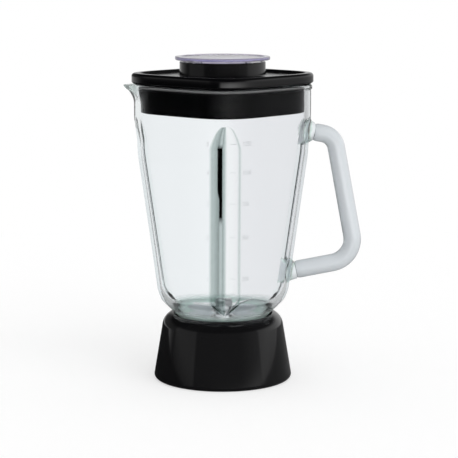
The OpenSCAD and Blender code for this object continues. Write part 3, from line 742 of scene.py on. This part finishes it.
def lid_outside():
    """The lid from the underside of its edge over the raised border to the plate, as [radius, height]."""
    return outline(
        [
            (LID_R - LID_WALL, LID_Z, 0),
            (LID_R - LID_WALL + 0.2 * MM, LID_Z, 0.05 * MM),
            (LID_R, LID_Z + LID_LIP, 1.0 * MM),
            (LID_R, LID_TOP_Z, 2.8 * MM),
            (BORDER_IN + BORDER_SLOPE, LID_TOP_Z, 1.5 * MM),
            (BORDER_IN, PLATE_TOP_Z, 1.5 * MM),
            (FILLER_FOOT_R, PLATE_TOP_Z, 0),
        ],
        8,
    )


def filler_neck():
    """The round neck of the filler, over its top and down its inside, as [radius, height]."""
    return outline(
        [
            (FILLER_FOOT_R, PLATE_TOP_Z, 0),
            (FILLER_OUT + 0.1 * MM, PLATE_TOP_Z, 1.2 * MM),
            (FILLER_OUT, FILLER_TOP, 0.9 * MM),
            (FILLER_R, FILLER_TOP, 0.9 * MM),
            (FILLER_R, FILLER_LOW, 0.4 * MM),
            (FILLER_OUT, FILLER_LOW, 0.4 * MM),
            (FILLER_OUT, PLATE_Z, 0),
        ],
        6,
    )


def lid():
    """The lid: over its top into the filler's neck, and back along its underside and the skirt."""
    under = [
        (SKIRT_R - LID_WALL, PLATE_Z),
        (SKIRT_R - LID_WALL, SKIRT_Z),
        (SKIRT_R, SKIRT_Z),
        (SKIRT_R, PLATE_Z),
        (BORDER_IN + LID_WALL, PLATE_Z),
        (BORDER_IN + LID_WALL + BORDER_SLOPE, LID_TOP_Z - LID_WALL),
        (LID_R - LID_WALL, LID_TOP_Z - LID_WALL),
    ]
    outside = lid_outside()[:-1]
    border_r, _ = outside[-1]
    rings = [lid_ring(r, z) for r, z in outside]
    for t in PLATE_RINGS:
        power = MOUTH_POWER + (CIRCLE - MOUTH_POWER) * t
        rings.append(lid_ring(border_r + (FILLER_FOOT_R - border_r) * t, PLATE_TOP_Z, power))
    rings += [lid_ring(r, z, CIRCLE) for r, z in filler_neck()]
    rings += [lid_ring(r, z) for r, z in under]
    cover = ring_loop("lid_cover", rings, "lid_body")
    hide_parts("lid")
    return cover


def lid_seal():
    """The sleeve of rubber on the skirt; its section starts and ends halfway up its inside."""
    profile = outline(
        [
            (SEAL_IN_R, SEAL_MIDDLE_Z, 0),
            (SEAL_IN_R, SEAL_LOW.z, 0.2 * MM),
            (SEAL_HIGH.x, SEAL_LOW.z, 0.8 * MM),
            (SEAL_HIGH.x, SEAL_HIGH.z, 0.8 * MM),
            (SEAL_IN_R, SEAL_HIGH.z, 0.2 * MM),
            (SEAL_IN_R, SEAL_MIDDLE_Z + 1 * MM, 0),
        ],
        6,
    )
    seal = ring_loop("lid_sleeve", [lid_ring(r, z) for r, z in profile], "lid_body")
    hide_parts("lid_seal")
    return seal


def filler_cap():
    """The cap's disc, dished on top, with the cup that hangs in the filler neck."""
    profile = outline(
        [
            (0, DISC_Z, 0),
            (CUP_R - CUP_WALL, DISC_Z, 1.2 * MM),
            (CUP_R - CUP_WALL - CUP_DRAFT, CUP_LOW_Z, 0.6 * MM),
            (CUP_R - CUP_DRAFT, CUP_LOW_Z, 0.6 * MM),
            (CUP_R, DISC_Z, 0.8 * MM),
            (DISC_R, DISC_Z, 0.7 * MM),
            (DISC_R, DISC_TOP_Z, 0.7 * MM),
            (DISC_R - 4 * MM, DISC_TOP_Z, 0.5 * MM),
            (DISC_R - 5 * MM, DISH_TOP_Z, 0.5 * MM),
            (0, DISH_TOP_Z, 0),
        ],
        5,
    )
    cap = solid_lathe("cap_disc_and_cup", profile, "cap_body", CAP_SEGMENTS)
    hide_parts("filler_cap")
    return cap


def cap_lugs():
    """The four lugs on which the cap's disc rests on the filler neck."""
    section = [(LUG_IN, FILLER_TOP), (FILLER_OUT, FILLER_TOP), (FILLER_OUT, LUG_TOP_Z), (LUG_IN, LUG_TOP_Z)]
    lugs = []
    for i in range(4):
        middle = 45 + 90 * i
        rings = []
        for a in np.radians(np.linspace(middle - LUG_SPAN / 2, middle + LUG_SPAN / 2, LUG_SECTIONS)):
            rings.append(np.array([(r * math.cos(a), r * math.sin(a), z) for r, z in section]))
        lug = ring_sweep(f"cap_lug_{i + 1}", rings, "cap_body")
        lugs.append(lug)
    return lugs


# ------------------------------------------------------------------ nodes

WHITE = (1, 1, 1, 1)
BLACK = (0, 0, 0, 1)
# Rays and bounces are counted in whole numbers, so more than this is one or more
SOME = 0.5


def grey(level):
    return (level, level, level, 1)


class Graph:
    """The nodes of a material or the world. Inputs are numbers, colours or sockets, results are sockets."""

    def __init__(self, owner):
        owner.use_nodes = True
        self.owner = owner
        self.nodes, self.links = owner.node_tree.nodes, owner.node_tree.links

    def feed(self, node, inputs):
        """Sets or links a node's inputs, given by name or number."""
        for key, value in inputs.items():
            if isinstance(value, bpy.types.NodeSocket):
                self.links.new(value, node.inputs[key])
            else:
                node.inputs[key].default_value = value
        return node

    def shade(self, look):
        """Sets or links the inputs of the material's shader."""
        self.feed(self.nodes["Principled BSDF"], look)

    def add(self, kind, inputs):
        return self.feed(self.nodes.new(kind), inputs)

    def math(self, operation, *values):
        node = self.add("ShaderNodeMath", dict(enumerate(values)))
        node.operation = operation
        return node.outputs[0]

    def product(self, first, *others):
        for other in others:
            first = self.math("MULTIPLY", first, other)
        return first

    def moved(self, level, share, change):
        """The level, moved by a share of a change."""
        return self.math("MULTIPLY_ADD", share, change, level)

    def some(self, count):
        """1 where a count is one or more."""
        return self.math("GREATER_THAN", count, SOME)

    def none(self, count):
        """1 where a count is nought."""
        return self.math("LESS_THAN", count, SOME)

    def span(self, value, start, end, low=0, high=1):
        """A number from low to high as the value goes from start to end."""
        ends = {"From Min": start, "From Max": end, "To Min": low, "To Max": high}
        return self.add("ShaderNodeMapRange", {"Value": value, **ends}).outputs["Result"]

    def smooth(self, value, start, end):
        """A share from 0 at start to 1 at end, with soft ends."""
        node = self.add("ShaderNodeMapRange", {"Value": value, "From Min": start, "From Max": end})
        node.interpolation_type = "SMOOTHSTEP"
        return node.outputs["Result"]

    def mix(self, share, first, second):
        """The first colour, turning into the second as the share goes to 1."""
        node = self.nodes.new("ShaderNodeMix")
        node.data_type = "RGBA"
        return self.feed(node, {"Factor": share, 6: first, 7: second}).outputs[2]

    def blend(self, share, first, second):
        """The first shader, turning into the second as the share goes to 1."""
        return self.add("ShaderNodeMixShader", {0: share, 1: first, 2: second}).outputs[0]

    def ramp(self, share, stops):
        """The colour at a share, between stops of (share, colour)."""
        node = self.add("ShaderNodeValToRGB", {"Fac": share})
        elements = node.color_ramp.elements
        while len(elements) < len(stops):
            elements.new(0.5)
        for element, (position, colour) in zip(elements, stops):
            element.position = position
            element.color = colour
        return node.outputs["Color"]

    def attribute(self, name):
        node = self.nodes.new("ShaderNodeAttribute")
        node.attribute_name = name
        return node.outputs["Fac"]

    def place(self, kind):
        """The place on the object ("Object"), or the direction in the world ("Generated")."""
        return self.nodes.new("ShaderNodeTexCoord").outputs[kind]

    def axes(self, kind):
        return self.add("ShaderNodeSeparateXYZ", {0: self.place(kind)}).outputs

    def noise(self, place, scale, detail):
        node = self.add("ShaderNodeTexNoise", {"Vector": place, "Scale": scale, "Detail": detail})
        return node.outputs["Fac"]

    def bump(self, height, strength, distance):
        node = self.add("ShaderNodeBump", {"Height": height, "Strength": strength, "Distance": distance})
        return node.outputs["Normal"]

    def paths(self):
        return self.nodes.new("ShaderNodeLightPath").outputs

    def light(self, colour, strength=1):
        return self.add("ShaderNodeBackground", {"Color": colour, "Strength": strength}).outputs[0]

    def seen_directly(self, paths):
        """1 for what the camera sees, also through clear glass, as long as nothing has reflected it."""
        straight = self.none(self.math("ADD", paths["Glossy Depth"], paths["Diffuse Depth"]))
        through = self.product(paths["Is Transmission Ray"], straight)
        return self.math("MAXIMUM", paths["Is Camera Ray"], through)


def new_material(name, look):
    """The graph of a new material, its shader set to the looks that are the same all over."""
    graph = Graph(bpy.data.materials.new(name))
    graph.shade(look)
    return graph


# ------------------------------------------------------------------ clear materials

PRESSED_TINT = (0.55, 0.76, 0.72, 1)
PRESSED_DENSITY = 8
# Real glass has more, but then its edges are dark, and in the photo they are light
PRESSED_IOR = 1.3
JAR_GLOSS = (0.3, 0.3, 0.3, 1)
GLASS_CLEAR = (0.947, 0.957, 0.968, 1)
# Painted shade: the half of the jar towards the handle is painted a little greyer, for the darker room seen
# through it
GLASS_PAINTED_SHADE = (0.914, 0.916, 0.932, 1)
PAINTED_SHADE_X = (-0.004, 0.014)

# Painted light: where the glass would gather light it is painted pale, and where it is palest it is painted
# milky like the handle; at the bosses the milk is their own colour, like the handle's
PAINTED_LIGHT_AND_MILK_TINT = (0.78, 0.94, 0.88, 1)
PAINTED_LIGHT_AND_MILK_TINT_AT = (0, 0.8)
PAINTED_LIGHT_AND_MILK_WHITE = (0.83, 0.87, 0.89, 1)
PAINTED_LIGHT_AND_MILK_WHITE_AT = (0.7, 0.95)

# Painted shade: how clear the front flute is painted across its width; its left face is painted dark for the
# dark side of the room that it catches
FLUTE_PAINTED_SHADE = [
    (-1.25, 0.9),
    (-1.08, 0.6),
    (-0.98, 0.33),
    (-0.86, 0.31),
    (-0.64, 0.2),
    (-0.5, 0.13),
    (-0.42, 0.3),
    (-0.3, 0.4),
    (-0.21, 0.2),
    (-0.07, 0.35),
    (0.04, 0.72),
    (0.12, 1.0),
    (0.82, 0.97),
    (0.9, 0.8),
    (0.97, 0.5),
    (1.04, 0.62),
    (1.12, 0.9),
]
FLUTE_SHADE_REACH = 1.25
FLUTE_SHADE_FADE = 0.15
# Painted shade in the glass is green: the less clear it is painted, the more red and a little blue it loses
LOST_RED = 0.3
LOST_BLUE = 0.05

# Painted reflection: the black streak in that face stands for a dark thing of the room reflected in it. Its
# four edges fade in from the first place to the second, across the flute and in height, and above the height
# where it widens its left edge lies further out.
PAINTED_STREAK_LEFT = (-0.5, -0.44)
PAINTED_STREAK_RIGHT = (-0.19, -0.26)
PAINTED_STREAK_LOW = (0.136, 0.144)
PAINTED_STREAK_HIGH = (0.2046, 0.1996)
PAINTED_STREAK_WIDE_Z = (0.158, 0.166)
PAINTED_STREAK_WIDER = 0.12


def clear_solid(name, tint, density, ior, colour, clarity=1.0):
    """A clear solid whose tint deepens with its thickness."""
    look = {"Base Color": colour, "Roughness": 0.0, "IOR": ior, "Transmission Weight": clarity}
    graph = new_material(name, look)
    absorb = graph.add("ShaderNodeVolumeAbsorption", {"Color": tint, "Density": density})
    graph.feed(graph.nodes["Material Output"], {"Volume": absorb.outputs["Volume"]})
    return graph


def pressed_glass(name):
    return clear_solid(name, PRESSED_TINT, PRESSED_DENSITY, PRESSED_IOR, GLASS_CLEAR)


def painted_shade_colour(level):
    """The colour of painted shade in glass that lets only a share of the light through."""
    red = level * (1 - LOST_RED + LOST_RED * level)
    blue = level * (1 - LOST_BLUE + LOST_BLUE * level)
    return (red, level, blue, 1)


def flute_painted_shade(graph, z):
    """Painted shade across the front flute, with the black streak of painted reflection."""
    reach = FLUTE_SHADE_REACH
    across = graph.attribute(FLUTE_PLACE)
    share = graph.span(across, -reach, reach)
    stops = [((at + reach) / (2 * reach), painted_shade_colour(level)) for at, level in FLUTE_PAINTED_SHADE]
    from_left = graph.moved(across, graph.smooth(z, *PAINTED_STREAK_WIDE_Z), PAINTED_STREAK_WIDER)
    # painted reflection: the black streak in the flute's left face
    streak = graph.product(
        graph.smooth(from_left, *PAINTED_STREAK_LEFT),
        graph.smooth(across, *PAINTED_STREAK_RIGHT),
        graph.smooth(z, *PAINTED_STREAK_LOW),
        graph.smooth(z, *PAINTED_STREAK_HIGH),
    )
    return graph.mix(streak, graph.ramp(share, stops), BLACK)


def jar_glass():
    """The jar's glass: painted shade at the handle and in the front flute, a painted dark reflection in the
    flute, and painted light where it would gather light.
    """
    graph = pressed_glass("pressed_glass")
    axes = graph.axes("Object")
    # painted shade: the glass greyer towards the handle
    sides = graph.mix(graph.smooth(axes["X"], *PAINTED_SHADE_X), GLASS_CLEAR, GLASS_PAINTED_SHADE)
    spread = graph.attribute(FLUTE_SPREAD)
    in_flute_shade = graph.smooth(spread, FLUTE_SHADE_REACH, FLUTE_SHADE_REACH - FLUTE_SHADE_FADE)
    # painted shade across the front flute
    tint = graph.mix(in_flute_shade, sides, flute_painted_shade(graph, axes["Z"]))
    # painted light at the neck, the rim and the spout, and the bosses' own milk
    pale = graph.attribute(PAINTED_LIGHT_AND_MILK_PLACE)
    colour = graph.mix(graph.smooth(pale, *PAINTED_LIGHT_AND_MILK_TINT_AT), tint, PAINTED_LIGHT_AND_MILK_TINT)
    look = {
        "Base Color": graph.mix(graph.smooth(pale, *PAINTED_LIGHT_AND_MILK_WHITE_AT), colour, PAINTED_LIGHT_AND_MILK_WHITE),
        "Transmission Weight": graph.moved(1, pale, -1),
        "Specular Tint": JAR_GLOSS,
    }
    graph.shade(look)
    return graph


# ------------------------------------------------------------------ other materials

PLASTIC_DETAIL = 4
PLASTIC_BUMP = 0.2 * MM
MILK_GRAIN = 60
MILK_DETAIL = 2
MILK_STRENGTH = 0.1
MILK_BUMP = 0.4 * MM
METAL_STRETCH = (40, 600, 1200)
METAL_DETAIL = 3
METAL_BUMP = 0.1 * MM
METAL_GLOSS = (0.8, 1.25)


def plastic(name, colour, roughness, specular, grain, bump, spread=0.06):
    """A moulded plastic or rubber with a faint unevenness, in its surface and in its gloss."""
    graph = new_material(name, {"Base Color": colour, "Specular IOR Level": specular})
    noise = graph.noise(graph.place("Object"), grain, PLASTIC_DETAIL)
    look = {
        "Roughness": graph.span(noise, 0, 1, roughness - spread / 2, roughness + spread / 2),
        "Normal": graph.bump(noise, bump, PLASTIC_BUMP),
    }
    graph.shade(look)
    return graph


def milk_glass():
    """The handle's glass, which light doesn't pass."""
    look = {
        "Base Color": (0.72, 0.76, 0.79, 1),
        "Roughness": 0.22,
        "IOR": 1.5,
        "Coat Weight": 0.4,
        "Coat Roughness": 0.05,
    }
    graph = new_material("milky_glass", look)
    noise = graph.noise(graph.place("Object"), MILK_GRAIN, MILK_DETAIL)
    graph.shade({"Normal": graph.bump(noise, MILK_STRENGTH, MILK_BUMP)})
    return graph


def metal(name, colour, roughness, bump):
    """A turned or ground metal, with fine lines along X in its surface and in its gloss."""
    graph = new_material(name, {"Base Color": colour, "Metallic": 1.0})
    stretched = graph.add("ShaderNodeMapping", {"Vector": graph.place("Object"), "Scale": METAL_STRETCH})
    noise = graph.noise(stretched.outputs["Vector"], 1.0, METAL_DETAIL)
    look = {
        "Roughness": graph.span(noise, 0, 1, *[roughness * share for share in METAL_GLOSS]),
        "Normal": graph.bump(noise, bump, METAL_BUMP),
    }
    graph.shade(look)
    return graph


def violet_plastic():
    """The filler cap's clear plastic, a little clouded."""
    tint, colour = (0.5, 0.46, 0.76, 1), (0.96, 0.94, 1, 1)
    return clear_solid("violet_polystyrene", tint, density=40, ior=1.45, colour=colour, clarity=0.78)


# The metal in the blade well is lighter and duller than real, because little light gets into the glass
MATERIALS = {
    "clear_glass": jar_glass(),
    "mark_glass": pressed_glass("pressed_mark"),
    "thread_glass": pressed_glass("thread_glass"),
    "frosted_glass": milk_glass(),
    "collar_black": plastic("collar_plastic", (0.005, 0.005, 0.0055, 1), 0.07, 0.5, 30, 0.02, 0.02),
    "lid_black": plastic("lid_plastic", (0.0015, 0.0015, 0.002, 1), 0.14, 0.5, 900, 0.04, 0.05),
    "seal_black": plastic("seal_rubber", (0.002, 0.002, 0.0025, 1), 0.35, 0.03, 700, 0.1),
    "white_rubber": plastic("gasket_silicone", (0.72, 0.71, 0.67, 1), 0.5, 0.4, 500, 0.2),
    "black_rubber": plastic("black_rubber", (0.02, 0.02, 0.02, 1), 0.55, 0.4, 600, 0.3),
    "cast_aluminium": metal("cast_aluminium", (0.9, 0.91, 0.92, 1), 0.5, 0.2),
    "bronze": metal("bronze", (0.62, 0.42, 0.2, 1), 0.3, 0.1),
    "steel": metal("turned_steel", (0.86, 0.87, 0.88, 1), 0.35, 0.1),
    "spring_steel": metal("spring_steel", (0.3, 0.31, 0.33, 1), 0.3, 0.1),
    "blade_steel": metal("blade_steel", (0.88, 0.88, 0.89, 1), 0.26, 0.15),
    "violet_clear": violet_plastic(),
}


def dress(pieces, look):
    """Gives pieces one of the materials."""
    for obj in pieces:
        obj.data.materials.clear()
        obj.data.materials.append(MATERIALS[look].owner)


# ------------------------------------------------------------------ the floor

# The floor's colour as it lights the object, as the camera sees it, and at the left and right in a gloss,
# where painted shade makes it dark at the left and painted light makes it light at the right.
# The lift brings the part that the camera sees to white away from the object's shadow.
FLOOR_PALE = 0.82
FLOOR_SEEN = 0.5
FLOOR_LIFT = 0.532
FLOOR_GLOSS_SHADE_LEFT = 0.1
FLOOR_GLOSS_LIGHT_RIGHT = 0.6
FLOOR_GLOSS_SHADE_X = (-0.1, 0.1)
FLOOR_HALF = 0.75
FLOOR_BELOW = 0.05 * MM


def floor_look():
    """What the floor shows to each kind of ray."""
    look = {"Roughness": 0.9, "Specular IOR Level": 0.0, "Emission Color": WHITE}
    graph = new_material("pale_floor", look)
    paths = graph.paths()
    seen = graph.seen_directly(paths)
    behind_glass = graph.product(seen, paths["Is Transmission Ray"])
    in_gloss = graph.product(paths["Is Glossy Ray"], graph.none(paths["Transmission Depth"]))
    # painted shade and light in a gloss: the floor dark at the left, light at the right
    gloss_light_share = graph.smooth(graph.axes("Object")["X"], *FLOOR_GLOSS_SHADE_X)
    change = graph.math("SUBTRACT", graph.moved(FLOOR_GLOSS_SHADE_LEFT, gloss_light_share, FLOOR_GLOSS_LIGHT_RIGHT - FLOOR_GLOSS_SHADE_LEFT), FLOOR_PALE)
    level = graph.moved(FLOOR_PALE, seen, FLOOR_SEEN - FLOOR_PALE)
    level = graph.moved(level, in_gloss, change)
    level = graph.moved(level, behind_glass, -FLOOR_SEEN)
    lift = graph.moved(graph.product(seen, FLOOR_LIFT), behind_glass, 1 - FLOOR_LIFT)
    graph.shade({"Base Color": level, "Emission Strength": lift})
    return graph


def stage_floor():
    """A pale ground just below the collar, which takes the object's shadow."""
    h = FLOOR_HALF
    mesh = bpy.data.meshes.new("floor")
    mesh.from_pydata([(-h, -h, 0), (h, -h, 0), (h, h, 0), (-h, h, 0)], [], [(0, 1, 2, 3)])
    floor = bpy.data.objects.new("floor", mesh)
    bpy.context.scene.collection.objects.link(floor)
    floor.location.z = COLLAR_LOW.z - FLOOR_BELOW
    mesh.materials.append(floor_look().owner)


# ------------------------------------------------------------------ the room and the camera

# What a reflecting surface sees round the room, as brightness by compass angle in degrees from +X:
# soft boxes above the table, what lies lower, and the same for light that has been inside the glass
ROOM = [
    (-180, 0.3),
    (-144, 0.3),
    (-141, 0.1),
    (-60, 0.1),
    (-24, 0.28),
    (-20, 0.62),
    (0, 0.75),
    (60, 0.8),
    (90, 0.6),
    (105, 0.1),
    (165, 0.1),
    (172, 0.3),
    (180, 0.3),
]
LOW_ROOM = [
    (-180, 0.0),
    (-114, 0.0),
    (-104, 1.6),
    (-75, 2.6),
    (-55, 2.3),
    (-35, 1.5),
    (-16, 0.6),
    (0, 0.38),
    (60, 0.5),
    (90, 0.9),
    (145, 0.6),
    (165, 0.05),
    (172, 0.0),
    (180, 0.0),
]
GLASS_ROOM = [
    (-180, 0.02),
    (-146, 0.02),
    (-128, 0.8),
    (-98, 1.3),
    (-60, 0.6),
    (-10, 0.2),
    (30, 0.4),
    (90, 0.95),
    (150, 0.9),
    (168, 0.1),
    (180, 0.02),
]
# How far up directions point, from 0 at the horizon to 1 overhead, where the low room turns into the room,
# where the room fades to HIGH_LEVEL, and where the light inside the glass sets in
HORIZON = (-0.055, 0.045)
HIGH_ROOM = (0.25, 0.5)
HIGH_LEVEL = 0.08
OVERHEAD = (0.15, 0.35)
# Lamps don't shine through clear glass here, so what stands inside it gets their share from the room
SOFT_LIGHT = 0.75
INSIDE_LIGHT = 1.9

KEY_POWER = 0.9
KEY_SPREAD = math.radians(50)
KEY_TILT = (math.radians(38), math.radians(34), 0)

CAMERA_LENS = 135
CAMERA_SENSOR = 36
CAMERA_DISTANCE = 1.411
CAMERA_HEIGHT = 0.3486
CAMERA_TURN = math.radians(-2.0)
CAMERA_YAW = math.radians(-0.213)
CAMERA_PITCH = math.radians(9)


def room_colour(graph, levels):
    """The room's brightness by compass angle."""
    axes = graph.axes("Generated")
    share = graph.span(graph.math("ARCTAN2", axes["Y"], axes["X"]), -math.pi, math.pi)
    return graph.ramp(share, [((degrees + 180) / 360, grey(level)) for degrees, level in levels])


def studio():
    """White for the camera, the room for what gloss and glass reflect, and even light for the rest."""
    world = bpy.data.worlds.new("studio")
    bpy.context.scene.world = world
    graph = Graph(world)
    graph.nodes.clear()
    paths = graph.paths()
    up = graph.axes("Generated")["Z"]
    in_glass = graph.some(paths["Transmission Depth"])

    dimming = graph.moved(1, graph.smooth(up, *HIGH_ROOM), HIGH_LEVEL - 1)
    room = graph.light(room_colour(graph, ROOM), dimming)
    around = graph.blend(graph.smooth(up, *HORIZON), graph.light(room_colour(graph, LOW_ROOM)), room)
    boxes = graph.blend(in_glass, around, graph.light(room_colour(graph, GLASS_ROOM)))

    overhead = graph.product(in_glass, graph.smooth(up, *OVERHEAD))
    scattered = graph.blend(overhead, graph.light(grey(SOFT_LIGHT)), graph.light(grey(INSIDE_LIGHT)))

    lit = graph.blend(graph.some(paths["Glossy Depth"]), scattered, boxes)
    shown = graph.blend(graph.seen_directly(paths), lit, graph.light(WHITE))
    graph.add("ShaderNodeOutputWorld", {"Surface": shown})


def key_lamp():
    """A soft lamp from above, which casts the shadow but shows in no gloss."""
    sun = bpy.data.lights.new("key", "SUN")
    sun.energy = KEY_POWER
    sun.angle = KEY_SPREAD
    lamp = bpy.data.objects.new("key", sun)
    lamp.rotation_euler = KEY_TILT
    lamp.visible_glossy = False
    bpy.context.scene.collection.objects.link(lamp)


def photo_camera():
    cam = bpy.data.cameras.new("camera")
    cam.lens = CAMERA_LENS
    cam.sensor_width = CAMERA_SENSOR
    obj = bpy.data.objects.new("camera", cam)
    x, y = CAMERA_DISTANCE * math.sin(CAMERA_TURN), -CAMERA_DISTANCE * math.cos(CAMERA_TURN)
    obj.location = (x, y, CAMERA_HEIGHT)
    obj.rotation_euler = (math.pi / 2 - CAMERA_PITCH, 0, CAMERA_TURN + CAMERA_YAW)
    bpy.context.scene.collection.objects.link(obj)
    bpy.context.scene.camera = obj


# ------------------------------------------------------------------ everything together

dress([glass_jar()], "clear_glass")
dress([jar_handle()], "frosted_glass")
dress([collar()], "collar_black")
dress([lid()], "lid_black")
dress([lid_seal()], "seal_black")
dress([filler_cap()] + cap_lugs(), "violet_clear")
dress(volume_marks(), "mark_glass")
dress([jar_thread()], "thread_glass")

# The pieces that keep the frame's meshes
for part in frame["record"]["subparts"]:
    dress([frame["nodes"][part["node"]]], part["material_slot"])

stage_floor()
studio()
key_lamp()
photo_camera()
bpy.context.scene.view_settings.view_transform = "Standard"
